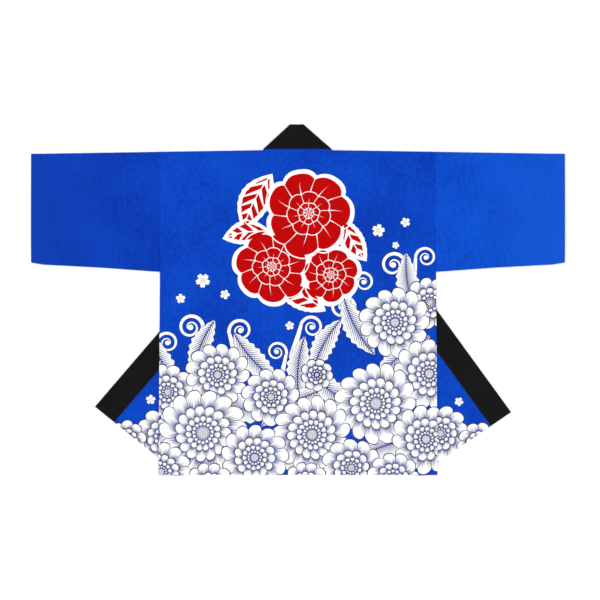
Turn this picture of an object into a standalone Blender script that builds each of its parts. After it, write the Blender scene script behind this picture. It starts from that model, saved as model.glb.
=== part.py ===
"""Happi coat laid out flat with its back upwards: a straight-cut short coat of cotton cloth.

The pieces are the ones a maker cuts and sews: one back, two fronts, two sleeves folded along
the top of the arm, and a collar band in two halves that meet at the middle of the neck.
Each front is turned back under itself along a slanting fold, so that its lower corner and the
end of the collar band stick out past the side of the back, and the band makes a blunt peak
above the shoulder line where it turns round the neck.

Pieces are drafted in millimetres, x across and y up from the middle of the neck, with y = 0 on
the shoulder line. One side is drafted with x outwards and then set to the left or the right.
Every cloth is a wall round a middle surface. A draft is cut flat, folded, and laid at the
height of whatever is under it, and lines are cut wherever that height changes slope, so that
two cloths that lie on each other stay apart everywhere.
"""

import math

import bmesh
import bpy
from mathutils import Matrix, Vector

MM = 0.001

# Cut sizes
CLOTH = 1.0
BAND_CLOTH = 1.6
GAP = 0.3
LENGTH = 792.0
HEM_DROP = 9.5  # how much lower the fronts' hem is at the band's free edge than at the side
SIDE_AT_SHOULDER = 334.5
SIDE_AT_HEM = 340.0
NECK_HALF = 80.0
BAND_WIDTH = 60.0
ARMHOLE_DEPTH = 297.0
CUFF_DEPTH = 265.0
CUFF_REACH = 651.0
CUFF_CORNER = 30.0
CUFF_CORNER_LIFT = 5.0
SHOULDER_FALL = 9.0
NECK_RISE = 2.7
NECK_EASE = 4.0
FOLD_EASE = 1.0
SNIP = 3.0

# How the cloth lies
RAMP = 14.0
BACK_LOFT = 1.6
SLEEVE_LOFT = 1.8
LOFT_EDGE = 70.0
GRID = 66.0

# Where each front turns back: height of the fold's start on the band's free edge, and its slant
FLAPS = {
    "left": {"side": -1, "start": -71.8, "slant_deg": 20.3},
    "right": {"side": 1, "start": 48.4, "slant_deg": 18.0},
}

# The folds at the neck aren't quite square: how much further out each one's foot and top lie than
# a square fold's, and how far down and across the cloth gives way to it
NECK_LEAN = {"left": {"foot": 4.7, "top": -0.5}, "right": {"foot": 2.2, "top": -6.5}}
LEAN_DEPTH = 100.0
LEAN_FROM = 2.0
LEAN_TO = 100.0
LEAN_FADE = 120.0

BAND_FREE = NECK_HALF - BAND_WIDTH
OVER_BAND = BAND_CLOTH + GAP
OVER_CLOTH = CLOTH + GAP
PEAK_Y = NECK_RISE + GAP / 2


def normal_line(point, direction):
    """The line through a point, square to a direction that points out of what is kept."""
    return Vector(point), Vector(direction).normalized()


def distance(point, line):
    """How far a flat point lies beyond a line, along the line's direction."""
    through, out = line
    return (point - through).dot(out)


def line_between(first, second, inside):
    """The line through two points, facing away from a third."""
    along = Vector(second) - Vector(first)
    out = Vector((along.y, -along.x))
    if (Vector(inside) - Vector(first)).dot(out) > 0:
        out = -out
    return normal_line(first, out)


def offset_line(line, step):
    return line[0] + line[1] * step, line[1]


def mirrored_line(line, mirror):
    """A line as it falls when the cloth is turned over along another line."""
    through, out = line
    across = mirror[1]
    point = through - across * (2 * distance(through, mirror))
    return point, out - across * (2 * out.dot(across))


def hem_line():
    """The hem of a front and of the band's end."""
    at_side, at_band = (SIDE_AT_HEM, -LENGTH), (BAND_FREE, -LENGTH - HEM_DROP)
    return line_between(at_side, at_band, (NECK_HALF, 0))


def mitre_line(first, second, corner):
    """The line along which two edges of a pad are equally far away."""
    return normal_line(corner, first[1] - second[1])


class Fold:
    """A sheet bent back on itself along a line, under itself or over itself."""

    def __init__(self, line, rise, wall, under):
        self.line = line
        self.rise = rise
        self.half = wall / 2
        self.turn = 1 if under else -1

    def cuts(self):
        near, far = -self.half, self.rise - self.half
        steps = [near - FOLD_EASE, near, far, far + FOLD_EASE]
        return [offset_line(self.line, step) for step in steps]

    def beyond(self, point):
        return distance(point, self.line)

    def lay(self, point):
        """The place in plan, the share of the way to the other layer, and the wall's direction."""
        along = self.beyond(point)
        out = self.line[1]
        foot = point - out * along
        edge = 1e-4
        up = Vector((0, 0, 1))
        side = Vector((out.x, out.y, 0)) * self.turn
        if along < -self.half - edge:
            return point, 0.0, up
        if along < -self.half + edge:
            return foot - out * self.half, 0.0, up + side
        if along < self.rise - self.half - edge:
            return foot - out * self.half, (along + self.half) / self.rise, side
        if along < self.rise - self.half + edge:
            return foot - out * self.half, 1.0, side - up
        return foot + out * (self.rise - 2 * self.half - along), 1.0, -up

    def unfold_line(self, line):
        """A line of the folded-back layer, drawn where it falls on the flat draft."""
        return mirrored_line(line, offset_line(self.line, self.rise / 2 - self.half))


class Flap:
    """One front's slanting fold and the places that follow from it, with x outwards."""

    def __init__(self, side, start, slant_deg):
        slant = math.radians(slant_deg)
        self.side = side
        self.start = Vector((BAND_FREE, start))
        self.fold = normal_line(self.start, (-math.cos(slant), -math.sin(slant)))
        self.free = normal_line(self.start, (math.cos(2 * slant), math.sin(2 * slant)))
        self.hem = mirrored_line(hem_line(), self.fold)
        self.band_edge = normal_line((BAND_FREE, 0), (-1, 0))
        self.band_seam = normal_line((NECK_HALF, 0), (1, 0))
        crossing = start - (NECK_HALF - BAND_FREE) / math.tan(slant)
        self.seam_crossing = Vector((NECK_HALF, crossing))

    def pad(self, point, height, edges):
        """A layer of this height under a point, with a ramp outside its edges."""
        outside = max(distance(point, edge) for edge in edges)
        return height * min(1.0, max(0.0, 1 - outside / RAMP))

    def under_front(self, point):
        return self.pad(point, OVER_BAND, [self.fold, self.free, self.hem])

    def under_back(self, point):
        cloth = self.pad(point, OVER_CLOTH, [self.fold, self.band_edge])
        band = self.pad(
            point, OVER_BAND - OVER_CLOTH, [self.fold, self.band_edge, self.band_seam]
        )
        return self.under_front(point) + cloth + band

    def flap_lines(self):
        """Where the height of what lies on the turned-back flap changes slope."""
        edges = [self.fold, self.free, self.hem]
        found = edges + [offset_line(edge, RAMP) for edge in edges]
        return found + [mitre_line(self.fold, self.free, self.start)]

    def back_lines(self):
        edges = [self.band_edge, self.band_seam]
        found = self.flap_lines() + edges + [offset_line(edge, RAMP) for edge in edges]
        found.append(mitre_line(self.fold, self.band_edge, self.start))
        found.append(mitre_line(self.fold, self.band_seam, self.seam_crossing))
        return found

    def mirrored(self, line):
        """A line of this side as it lies on the whole coat."""
        through, out = line
        return (
            Vector((through.x * self.side, through.y)),
            Vector((out.x * self.side, out.y)),
        )


def flat_sheet(low, high):
    """A rectangle of cloth, cut into squares."""
    draft = bmesh.new()
    corners = [(low[0], low[1]), (high[0], low[1]), (high[0], high[1]), (low[0], high[1])]
    draft.faces.new([draft.verts.new((x, y, 0)) for x, y in corners])
    for axis in (0, 1):
        count = max(1, round((high[axis] - low[axis]) / GRID))
        for step in range(1, count):
            place = low[axis] + (high[axis] - low[axis]) * step / count
            through = (place, 0) if axis == 0 else (0, place)
            out = (1, 0) if axis == 0 else (0, 1)
            cut(draft, normal_line(through, out))
    return draft


def cut(draft, line, where=None, trim=False):
    """Cuts the faces along a line, and with trim drops what lies beyond it."""

    def chosen():
        middles = [(face, face.calc_center_median().to_2d()) for face in draft.faces]
        return [(face, middle) for face, middle in middles if where is None or where(middle)]

    through, out = line
    faces = [face for face, middle in chosen()]
    geometry = set(faces)
    for face in faces:
        geometry.update(face.verts)
        geometry.update(face.edges)
    bmesh.ops.bisect_plane(
        draft,
        geom=list(geometry),
        dist=1e-4,
        plane_co=(through.x, through.y, 0),
        plane_no=(out.x, out.y, 0),
    )
    if trim:
        dropped = [face for face, middle in chosen() if distance(middle, line) > 0]
        bmesh.ops.delete(draft, geom=dropped, context="FACES")


def neck_lean(x, y):
    """How far a place about the neck lies to one side of where square folds would put it."""
    side, name = (-1, "left") if x < 0 else (1, "right")
    foot, top = NECK_LEAN[name]["foot"], NECK_LEAN[name]["top"]
    if y > 0:
        shift = foot + (top - foot) * min(1.0, y / BAND_WIDTH)
    else:
        shift = foot * max(0.0, 1 + y / LEAN_DEPTH)
    inner = (abs(x) - LEAN_FROM) / (BAND_FREE - LEAN_FROM)
    outer = 1 - (abs(x) - LEAN_TO) / LEAN_FADE
    return side * shift * max(0.0, min(1.0, inner, outer))


def wall(draft, name, side, thickness, place, material):
    """Turns a flat draft into a closed wall. place gives each point's middle and direction."""
    lean = draft.verts.layers.float_vector.new("lean")
    for vertex in draft.verts:
        middle, direction = place(vertex.co.to_2d())
        across = middle.x * side
        vertex.co = Vector((across + neck_lean(across, middle.y), middle.y, middle.z))
        vertex[lean] = Vector((direction.x * side, direction.y, direction.z)) * thickness / 2
    bmesh.ops.triangulate(draft, faces=draft.faces)
    one_side = set(draft.verts)
    sheet = draft.faces[:] + draft.edges[:] + draft.verts[:]
    bmesh.ops.extrude_face_region(draft, geom=sheet, use_keep_orig=True)
    for vertex in draft.verts:
        vertex.co += vertex[lean] if vertex in one_side else -vertex[lean]
        vertex.co *= MM
    bmesh.ops.recalc_face_normals(draft, faces=draft.faces)
    mesh = bpy.data.meshes.new(name)
    draft.to_mesh(mesh)
    draft.free()
    mesh.materials.append(material)
    piece = bpy.data.objects.new(name, mesh)
    bpy.context.scene.collection.objects.link(piece)
    return piece


def swell(share):
    """A smooth rise from 0 to 1."""
    share = min(1.0, max(0.0, share))
    return share * share * (3 - 2 * share)


def shoulder_line():
    """The top of one side, from the neck out to the cuff."""
    inner = (NECK_HALF, 0)
    outer = (CUFF_REACH, -SHOULDER_FALL)
    return line_between(inner, outer, (NECK_HALF, -LENGTH))


def side_line():
    """The armhole and side edge of the body, leaning out to the hem."""
    return line_between((SIDE_AT_SHOULDER, 0), (SIDE_AT_HEM, -LENGTH), (0, 0))


def lean_end():
    """The line across the coat where the lean at the neck has gone."""
    return normal_line((0, -LEAN_DEPTH), (0, -1))


def make_back(flaps, material):
    draft = flat_sheet((-SIDE_AT_HEM, -LENGTH), (SIDE_AT_HEM, NECK_RISE))
    neck = NECK_HALF - NECK_EASE
    for flap in flaps:
        cut(draft, flap.mirrored(normal_line((neck, 0), (1, 0))))
        cut(draft, flap.mirrored(side_line()), trim=True)
    cut(draft, lean_end())
    for flap in flaps:
        top = flap.mirrored(shoulder_line())
        cut(draft, top, where=lambda p: p.x * flap.side > neck, trim=True)
        for line in flap.back_lines():
            cut(draft, flap.mirrored(line))

    def place(point):
        under = sum(f.under_back(Vector((point.x * f.side, point.y))) for f in flaps)
        inwards = min(SIDE_AT_SHOULDER - abs(point.x), -point.y, point.y + LENGTH)
        wave = 0.5 + 0.5 * math.sin(point.x / 97 + 0.8) * math.cos(point.y / 131 + 0.4)
        loft = BACK_LOFT * wave * swell(inwards / LOFT_EDGE) * min(1.0, under / OVER_CLOTH)
        return Vector((point.x, point.y, under + loft + CLOTH / 2)), Vector((0, 0, 1))

    wall(draft, "back", 1, CLOTH, place, material)


def make_front(flap, name, material):
    fold = Fold(flap.fold, OVER_BAND, CLOTH, under=True)
    draft = flat_sheet((NECK_HALF + GAP, -LENGTH - HEM_DROP), (SIDE_AT_HEM, 0))
    for edge in (shoulder_line(), side_line(), hem_line()):
        cut(draft, edge, trim=True)
    for line in fold.cuts():
        cut(draft, line)
    for line in flap.flap_lines():
        cut(draft, line, where=lambda p: fold.beyond(p) < 0)
    cut(draft, lean_end(), where=lambda p: fold.beyond(p) < 0)
    # The thicker band needs room where its seam goes round the fold
    for step in (-SNIP, SNIP):
        cut(draft, offset_line(fold.line, step))
    snip = normal_line((NECK_HALF + SNIP, 0), (-1, 0))
    cut(draft, snip, where=lambda p: abs(fold.beyond(p)) < SNIP, trim=True)

    def place(point):
        plan, share, direction = fold.lay(point)
        top = flap.under_front(plan)
        return Vector((plan.x, plan.y, top * (1 - share) + CLOTH / 2)), direction

    wall(draft, name, flap.side, CLOTH, place, material)


def make_collar(flap, name, material):
    """The band: round the back of the neck, down the front and back out along the flap."""
    peak = normal_line((NECK_HALF, PEAK_Y), (1, 1))
    over = Fold(peak, OVER_BAND, BAND_CLOTH, under=False)
    under = Fold(flap.fold, OVER_BAND, BAND_CLOTH, under=True)
    draft = flat_sheet((BAND_FREE, -LENGTH - HEM_DROP), (NECK_HALF, NECK_HALF * 2))
    middle_seam = over.unfold_line(normal_line((GAP / 2, 0), (-1, 0)))
    for edge in (middle_seam, hem_line()):
        cut(draft, edge, trim=True)
    for line in over.cuts() + under.cuts():
        cut(draft, line)
    for line in flap.flap_lines():
        cut(draft, line, where=lambda p: under.beyond(p) < 0 and over.beyond(p) < 0)
    for line in flap.back_lines():
        cut(draft, over.unfold_line(line), where=lambda p: over.beyond(p) > 0)
    for line in (lean_end(), normal_line((0, 0), (0, 1))):
        cut(draft, line, where=lambda p: under.beyond(p) < 0 and over.beyond(p) < 0)
    for across in (LEAN_FROM, BAND_FREE):
        line = over.unfold_line(normal_line((across, 0), (1, 0)))
        cut(draft, line, where=lambda p: over.beyond(p) > 0)

    def place(point):
        if over.beyond(point) > -BAND_CLOTH:
            plan, share, direction = over.lay(point)
            if share == 1.0:
                height = flap.under_back(plan)
            else:
                height = flap.under_front(plan) + share * OVER_BAND
        else:
            plan, share, direction = under.lay(point)
            height = flap.under_front(plan) * (1 - share)
        return Vector((plan.x, plan.y, height + BAND_CLOTH / 2)), direction

    wall(draft, name, flap.side, BAND_CLOTH, place, material)


def make_sleeve(flap, name, material):
    top = shoulder_line()
    fold = Fold(top, OVER_CLOTH, CLOTH, under=True)
    inner = side_line()
    inner = (inner[0] + inner[1] * GAP, -inner[1])
    cuff = normal_line((CUFF_REACH, 0), (1, 0))
    corner = Vector((CUFF_REACH - CUFF_CORNER, -SHOULDER_FALL - CUFF_DEPTH - CUFF_CORNER_LIFT))
    cuff_end = (CUFF_REACH, -SHOULDER_FALL - CUFF_DEPTH)
    underarm = (SIDE_AT_SHOULDER, -ARMHOLE_DEPTH)
    keep = (SIDE_AT_HEM + LOFT_EDGE, -LOFT_EDGE)
    edges = [
        inner,
        cuff,
        line_between(underarm, corner, keep),
        line_between(corner, cuff_end, keep),
    ]
    reach = ARMHOLE_DEPTH + GRID
    draft = flat_sheet((SIDE_AT_SHOULDER - GRID, -reach), (CUFF_REACH + GRID, reach))
    for line in fold.cuts():
        cut(draft, line)
    for edge in edges:
        cut(draft, edge, where=lambda p: fold.beyond(p) < 0, trim=True)
        lower = fold.unfold_line(edge)
        cut(draft, lower, where=lambda p: fold.beyond(p) > 0, trim=True)

    def place(point):
        plan, share, direction = fold.lay(point)
        height = OVER_CLOTH * (1 - share)
        if share == 0.0:
            inwards = min(-distance(plan, edge) for edge in edges[2:] + [top])
            near_arm = -distance(plan, inner)
            wave = 0.6 + 0.4 * math.sin(plan.x / 61 + plan.y / 83)
            height += SLEEVE_LOFT * wave * swell(inwards / LOFT_EDGE) * swell(near_arm / LOFT_EDGE)
        return Vector((plan.x, plan.y, height + CLOTH / 2)), direction

    wall(draft, name, flap.side, CLOTH, place, material)


def centre(pieces):
    """Moves the coat up or down its length until the origin is in the middle of it."""
    places = [vertex.co.y for piece in pieces for vertex in piece.data.vertices]
    middle = (min(places) + max(places)) / 2
    for piece in pieces:
        piece.data.transform(Matrix.Translation((0, -middle, 0)))


def finish_of(name, colour, roughness):
    """A cloth finish: its linear colour and how matt it is."""
    material = bpy.data.materials.new(name)
    material.use_nodes = True
    shader = material.node_tree.nodes["Principled BSDF"]
    shader.inputs["Base Color"].default_value = (*colour, 1)
    shader.inputs["Roughness"].default_value = roughness
    shader.inputs["Metallic"].default_value = 0.0
    return material


def main():
    for old in list(bpy.data.objects):
        bpy.data.objects.remove(old, do_unlink=True)
    blue = (0.006, 0.055, 0.48)
    black = (0.008, 0.008, 0.010)
    flaps = {name: Flap(**sizes) for name, sizes in FLAPS.items()}
    make_back(list(flaps.values()), finish_of("back_cotton", blue, 0.85))
    for name, flap in flaps.items():
        make_front(flap, f"front_{name}", finish_of(f"front_cotton_{name}", blue, 0.85))
        make_collar(flap, f"collar_{name}", finish_of(f"collar_twill_{name}", black, 0.8))
        make_sleeve(flap, f"sleeve_{name}", finish_of(f"sleeve_cotton_{name}", blue, 0.85))
    centre(list(bpy.data.objects))


main()
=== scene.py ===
import math
from functools import partial

import bmesh
import bpy
from mathutils import Matrix, Vector


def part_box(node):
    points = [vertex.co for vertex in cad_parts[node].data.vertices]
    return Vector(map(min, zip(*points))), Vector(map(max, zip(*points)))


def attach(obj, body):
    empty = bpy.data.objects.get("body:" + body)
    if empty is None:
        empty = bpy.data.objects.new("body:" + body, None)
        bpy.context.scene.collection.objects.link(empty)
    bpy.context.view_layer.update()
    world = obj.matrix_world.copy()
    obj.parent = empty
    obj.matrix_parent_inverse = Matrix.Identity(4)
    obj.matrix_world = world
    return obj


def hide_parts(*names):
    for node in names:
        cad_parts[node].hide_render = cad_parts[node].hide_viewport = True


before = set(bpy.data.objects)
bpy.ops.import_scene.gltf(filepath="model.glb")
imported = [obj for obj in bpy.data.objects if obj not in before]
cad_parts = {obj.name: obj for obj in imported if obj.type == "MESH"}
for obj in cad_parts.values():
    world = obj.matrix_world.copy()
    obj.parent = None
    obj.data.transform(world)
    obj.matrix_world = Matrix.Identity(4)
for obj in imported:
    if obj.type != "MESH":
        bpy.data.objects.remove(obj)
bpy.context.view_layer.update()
mm = 0.001

# The coat's cut, in mm, with x out from the middle of the neck and y up from the shoulder line
coat = {
    "length": 792.0,
    "sideAtShoulder": 334.5,
    "sideAtHem": 340.0,
    "neckHalf": 80.0,
    "neckRise": 2.8,
    "neckEase": 4.0,
    "bandWidth": 60.0,
    "shoulderFall": 9.0,
    "hemDrop": 9.5,  # how much lower the fronts' hem is at the band than at the side
    "hemWidth": 20.0,
    "seamWidth": 9.0,
}
# How the cloths lie on each other, in mm
lying = {
    "overCloth": 1.3,
    "overBand": 1.9,
    "ramp": 14.0,
    "rampSteps": 4,
    "seamGap": 0.08,
    "snip": 3.0,  # cut away from a front's edge where the thicker band rolls round its fold
    "grid": 9.0,
}
# Where each front turns back under itself, in mm and degrees
turnBacks = {
    "left": {"side": -1, "start": -71.8, "slant": 20.3},
    "right": {"side": 1, "start": 48.4, "slant": 18.0},
}
# The folds at the neck aren't quite square: how much further out than a square fold's each one's
# foot and top lie, and where the cloth beside them gives way to it, in mm
neckFolds = {
    "left": {"foot": 4.7, "top": -0.5},
    "right": {"foot": 2.2, "top": -6.5},
    "depth": 100.0,
    "from": 2.0,
    "to": 100.0,
    "fade": 120.0,
}
# One layer of the cotton, its doubled hems and seams, and the firm band with its length past the
# shoulder line, in mm
cotton = {"thick": 0.55, "doubled": 1.06, "hemStep": 2.5}
band = {"thick": 1.5, "roundNeck": 90.0}
# How a rim rounds off: its rows, as shares of half the wall, and how thin it ends
rim = {"rows": (0.13, 0.5, 1), "least": 0.15}

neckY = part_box("back")[0].y / mm + coat["length"]
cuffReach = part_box("sleeve_right")[1].x / mm
bandFree = coat["neckHalf"] - coat["bandWidth"]


# Lines on the flat draft: a point, and the way that points out of what is kept

def lineAt(point, direction):
    return Vector(point), Vector(direction).normalized()


def beyond(point, line):
    return (point - line[0]).dot(line[1])


def shifted(line, step):
    return line[0] + line[1] * step, line[1]


def lineThrough(first, second, inside):
    along = Vector(second) - Vector(first)
    out = Vector((along.y, -along.x))
    if (Vector(inside) - Vector(first)).dot(out) > 0:
        out = -out
    return lineAt(first, out)


def evenLine(first, second, corner):
    return lineAt(corner, first[1] - second[1])


def rampLines(edges):
    steps = range(lying["rampSteps"] + 1)
    return [shifted(edge, lying["ramp"] * i / lying["rampSteps"]) for edge in edges for i in steps]


def swell(share):
    share = min(1.0, max(0.0, share))
    return share * share * (3 - 2 * share)


def turnedOver(line, mirror):
    across = mirror[1]
    point = line[0] - across * (2 * beyond(line[0], mirror))
    return point, line[1] - across * (2 * line[1].dot(across))


def frontHemY(x):
    share = (coat["sideAtHem"] - x) / (coat["sideAtHem"] - bandFree)
    return -coat["length"] - coat["hemDrop"] * share


# A place on the laid-out coat, moved aside as the folds at the neck lean
def leaned(point):
    side = -1 if point.x < 0 else 1
    fold = neckFolds["left" if side < 0 else "right"]
    if point.y > 0:
        rise = min(1, point.y / coat["bandWidth"])
        shift = fold["foot"] + (fold["top"] - fold["foot"]) * rise
    else:
        shift = fold["foot"] * max(0, 1 + point.y / neckFolds["depth"])
    inner = (abs(point.x) - neckFolds["from"]) / (bandFree - neckFolds["from"])
    outer = 1 - (abs(point.x) - neckFolds["to"]) / neckFolds["fade"]
    return point + Vector((side * shift * max(0, min(1, inner, outer)), 0, 0))


leanEnd = lineAt((0, -neckFolds["depth"]), (0, -1))
hemAtSide = (coat["sideAtHem"], frontHemY(coat["sideAtHem"]))
frontHem = lineThrough(hemAtSide, (bandFree, frontHemY(bandFree)), (bandFree, 0))


# A sheet rolled back on itself along a line: a half circle between its two layers
class Roll:
    def __init__(self, line, rise, thick, under):
        self.line = line
        self.radius = rise / 2
        self.begin = -(rise + thick) / 2
        self.arc = math.pi * self.radius
        self.turn = 1 if under else -1

    def cuts(self, steps=6):
        return [shifted(self.line, self.begin + self.arc * i / steps) for i in range(steps + 1)]

    def before(self, point):
        return beyond(point, self.line) < self.begin

    def flipped(self, point):
        return beyond(point, self.line) > self.begin + self.arc / 2

    # The place in plan, the share of the way to the other layer, and the wall's direction
    def lay(self, point):
        along = beyond(point, self.line)
        out = self.line[1]
        foot = point - out * along
        turned = (along - self.begin) / self.radius
        if turned <= 0:
            return point, 0.0, Vector((0, 0, 1))
        if turned >= math.pi:
            return foot + out * (2 * self.begin + self.arc - along), 1.0, Vector((0, 0, -1))
        plan = foot + out * (self.begin + self.radius * math.sin(turned))
        aside = self.turn * math.sin(turned)
        direction = Vector((out.x * aside, out.y * aside, math.cos(turned)))
        return plan, (1 - math.cos(turned)) / 2, direction

    def unfolded(self, line):
        return turnedOver(line, shifted(self.line, self.begin + self.arc / 2))


# How far a cloth of this height and with these edges props up what lies on it
def pad(point, height, edges):
    outside = max(beyond(point, edge) for edge in edges)
    return height * swell(1 - outside / lying["ramp"])


# One front's slanting fold and what follows from it
class TurnBack:
    def __init__(self, side, start, slant):
        slant = math.radians(slant)
        self.side = side
        self.start = Vector((bandFree, start))
        self.fold = lineAt(self.start, (-math.cos(slant), -math.sin(slant)))
        self.free = lineAt(self.start, (math.cos(2 * slant), math.sin(2 * slant)))
        self.hem = turnedOver(frontHem, self.fold)
        self.bandEdge = lineAt((bandFree, 0), (-1, 0))
        self.bandSeam = lineAt((coat["neckHalf"], 0), (1, 0))
        crossing = start - coat["bandWidth"] / math.tan(slant)
        self.crossing = Vector((coat["neckHalf"], crossing))
        self.roll = Roll(self.fold, lying["overBand"], band["thick"], under=True)

    def underFront(self, point):
        return pad(point, lying["overBand"], [self.fold, self.free, self.hem])

    def underBack(self, point):
        edges = [self.fold, self.bandEdge]
        cloth = pad(point, lying["overCloth"], edges)
        step = lying["overBand"] - lying["overCloth"]
        return self.underFront(point) + cloth + pad(point, step, edges + [self.bandSeam])

    def flapLines(self):
        ridge = evenLine(self.fold, self.free, self.start)
        return rampLines([self.fold, self.free, self.hem]) + [ridge]

    def backLines(self):
        found = rampLines([self.bandEdge, self.bandSeam])
        found.append(evenLine(self.fold, self.bandEdge, self.start))
        found.append(evenLine(self.fold, self.bandSeam, self.crossing))
        return found + self.flapLines()

    def onCoat(self, line):
        flip = Vector((self.side, 1))
        return line[0] * flip, line[1] * flip


def flatSheet(low, high):
    draft = bmesh.new()
    wide, tall = high[0] - low[0], high[1] - low[1]
    bmesh.ops.create_grid(
        draft,
        x_segments=max(1, round(wide / lying["grid"])),
        y_segments=max(1, round(tall / lying["grid"])),
        size=0.5,
    )
    bmesh.ops.scale(draft, vec=(wide, tall, 1), verts=draft.verts)
    middle = ((low[0] + high[0]) / 2, (low[1] + high[1]) / 2, 0)
    bmesh.ops.translate(draft, vec=middle, verts=draft.verts)
    return draft


# Cuts the sheet along a line, on one stretch of it or all over; trim drops what is beyond
def cut(draft, line, where=None, trim=False):
    def middle(face):
        return face.calc_center_median().to_2d()

    def chosen():
        return [face for face in draft.faces if where is None or where(middle(face))]

    faces = chosen()
    geometry = set(faces)
    for face in faces:
        geometry.update(face.verts)
        geometry.update(face.edges)
    bmesh.ops.bisect_plane(
        draft,
        geom=list(geometry),
        dist=1e-4,
        plane_co=line[0].to_3d(),
        plane_no=line[1].to_3d(),
    )
    if trim:
        dropped = [face for face in chosen() if beyond(middle(face), line) > 0]
        bmesh.ops.delete(draft, geom=dropped, context="FACES")


# Rows of cuts beside an edge, where the cloth's rim rounds off and its hem begins
def edgeRows(draft, line, width=0, where=None, thick=cotton["doubled"]):
    rows = [thick / 2 * share for share in rim["rows"]]
    if width:
        rows += [width - cotton["hemStep"], width]
    for row in rows:
        cut(draft, shifted(line, -row), where)


# How full the wall is at this distance inside its edge: 1 but for the rounded rim
def rimShare(inside, thick):
    share = min(1.0, max(0.0, 2 * inside / thick))
    return max(rim["least"], math.sqrt(1 - (1 - share) ** 2))


# Half the cotton's thickness, from how far inside its hem, its seams and its raw edge the point is
def halfCotton(toHem, seams, rawEdge=math.inf):
    widths = [(toHem, coat["hemWidth"]), *((toSeam, coat["seamWidth"]) for toSeam in seams)]
    folded = max(swell((width - inside) / cotton["hemStep"]) for inside, width in widths)
    half = (cotton["thick"] + (cotton["doubled"] - cotton["thick"]) * folded) / 2
    return half * rimShare(min(toHem, rawEdge, *seams), cotton["doubled"])


def newPiece(name, draft, materials):
    mesh = bpy.data.meshes.new(name)
    draft.to_mesh(mesh)
    draft.free()
    for material in materials:
        mesh.materials.append(material)
    piece = bpy.data.objects.new(name, mesh)
    bpy.context.scene.collection.objects.link(piece)
    return piece


# place(point) gives the middle, the wall's direction and half its thickness. rightSide is 1 where
# the cloth's right side faces that way, -1 where its wrong side does, and 0 if both are alike.
def makeWall(draft, name, side, place, rightSide, materials):
    lean = draft.verts.layers.float_vector.new("lean")
    flat = draft.verts.layers.float_vector.new("flat")
    flip = Vector((side, 1, 1))
    for vertex in draft.verts:
        point = vertex.co.to_2d()
        middle, direction, half = place(point)
        vertex[flat] = Vector((point.x * side, point.y, 0)) * mm
        vertex.co = leaned(middle * flip) + Vector((0, neckY, 0))
        vertex[lean] = direction * flip * half
    outer, first = draft.verts[:], draft.faces[:]
    sheet = first + draft.edges[:] + outer
    wall = bmesh.ops.extrude_face_region(draft, geom=sheet, use_keep_orig=True)
    inner = [g for g in wall["geom"] if isinstance(g, bmesh.types.BMVert)]
    second = [g for g in wall["geom"] if isinstance(g, bmesh.types.BMFace)]
    if rightSide:
        for face in second if rightSide > 0 else first:
            face.material_index = 1
    for vertex in outer:
        vertex.co += vertex[lean]
    for vertex in inner:
        vertex.co -= vertex[lean]
    bmesh.ops.scale(draft, vec=(mm, mm, mm), verts=draft.verts)
    bmesh.ops.recalc_face_normals(draft, faces=draft.faces)
    cutMap = draft.loops.layers.uv.new("cut")
    for face in draft.faces:
        face.smooth = True
        for loop in face.loops:
            loop[cutMap].uv = loop.vert[flat].to_2d()
    piece = newPiece(name, draft, materials)
    for layer in ("lean", "flat"):
        piece.data.attributes.remove(piece.data.attributes[layer])
    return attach(piece, "root")


# Soft creases: from and to on the coat, height and width, in mm
backCreases = [
    {"from": (-250, -60), "to": (-120, -250), "height": 0.5, "width": 26},
    {"from": (262, -90), "to": (205, -330), "height": 0.6, "width": 30},
    {"from": (-300, -330), "to": (-190, -420), "height": 0.5, "width": 24},
    {"from": (40, -420), "to": (210, -500), "height": 0.4, "width": 34},
    {"from": (-262, -560), "to": (-300, -740), "height": 0.5, "width": 28},
    {"from": (310, -480), "to": (268, -700), "height": 0.6, "width": 26},
]
sleeveCreases = [
    {"from": (360, -262), "to": (450, -120), "height": 0.7, "width": 24},
    {"from": (352, -282), "to": (520, -232), "height": 0.5, "width": 20},
    {"from": (560, -50), "to": (610, -210), "height": 0.4, "width": 26},
]


# How far a crease runs on past each end and how long it fades there, as shares of its length,
# and how many of its widths it reaches aside
creaseEnd = {"past": 0.3, "fade": 0.5, "aside": 3}


def creaseHeight(point, creases):
    total = 0
    for crease in creases:
        start, end = Vector(crease["from"]), Vector(crease["to"])
        along = (end - start).normalized()
        reach = (point - start).dot(along) / (end - start).length
        aside = (point - start).cross(along) / crease["width"]
        fromEnd = min(reach, 1 - reach) + creaseEnd["past"]
        if fromEnd > 0 and abs(aside) < creaseEnd["aside"]:
            ends = swell(fromEnd / creaseEnd["fade"])
            total += crease["height"] * ends * math.exp(-aside * aside)
    return total


coatHem = lineAt((0, -coat["length"]), (0, -1))
coatSide = lineThrough((coat["sideAtShoulder"], 0), (coat["sideAtHem"], -coat["length"]), (0, 0))
shoulder = lineThrough(
    (coat["neckHalf"], 0), (cuffReach, -coat["shoulderFall"]), (0, -coat["length"])
)
turns = {name: TurnBack(**sizes) for name, sizes in turnBacks.items()}

# The back: one piece, with its hem turned up and its seams pressed. It lies a little loose, in
# low waves whose length and start are given across and along it.
back = {"loft": 1.5, "loftEdge": 70.0, "across": (97, 0.8), "along": (131, 0.4)}


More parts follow.
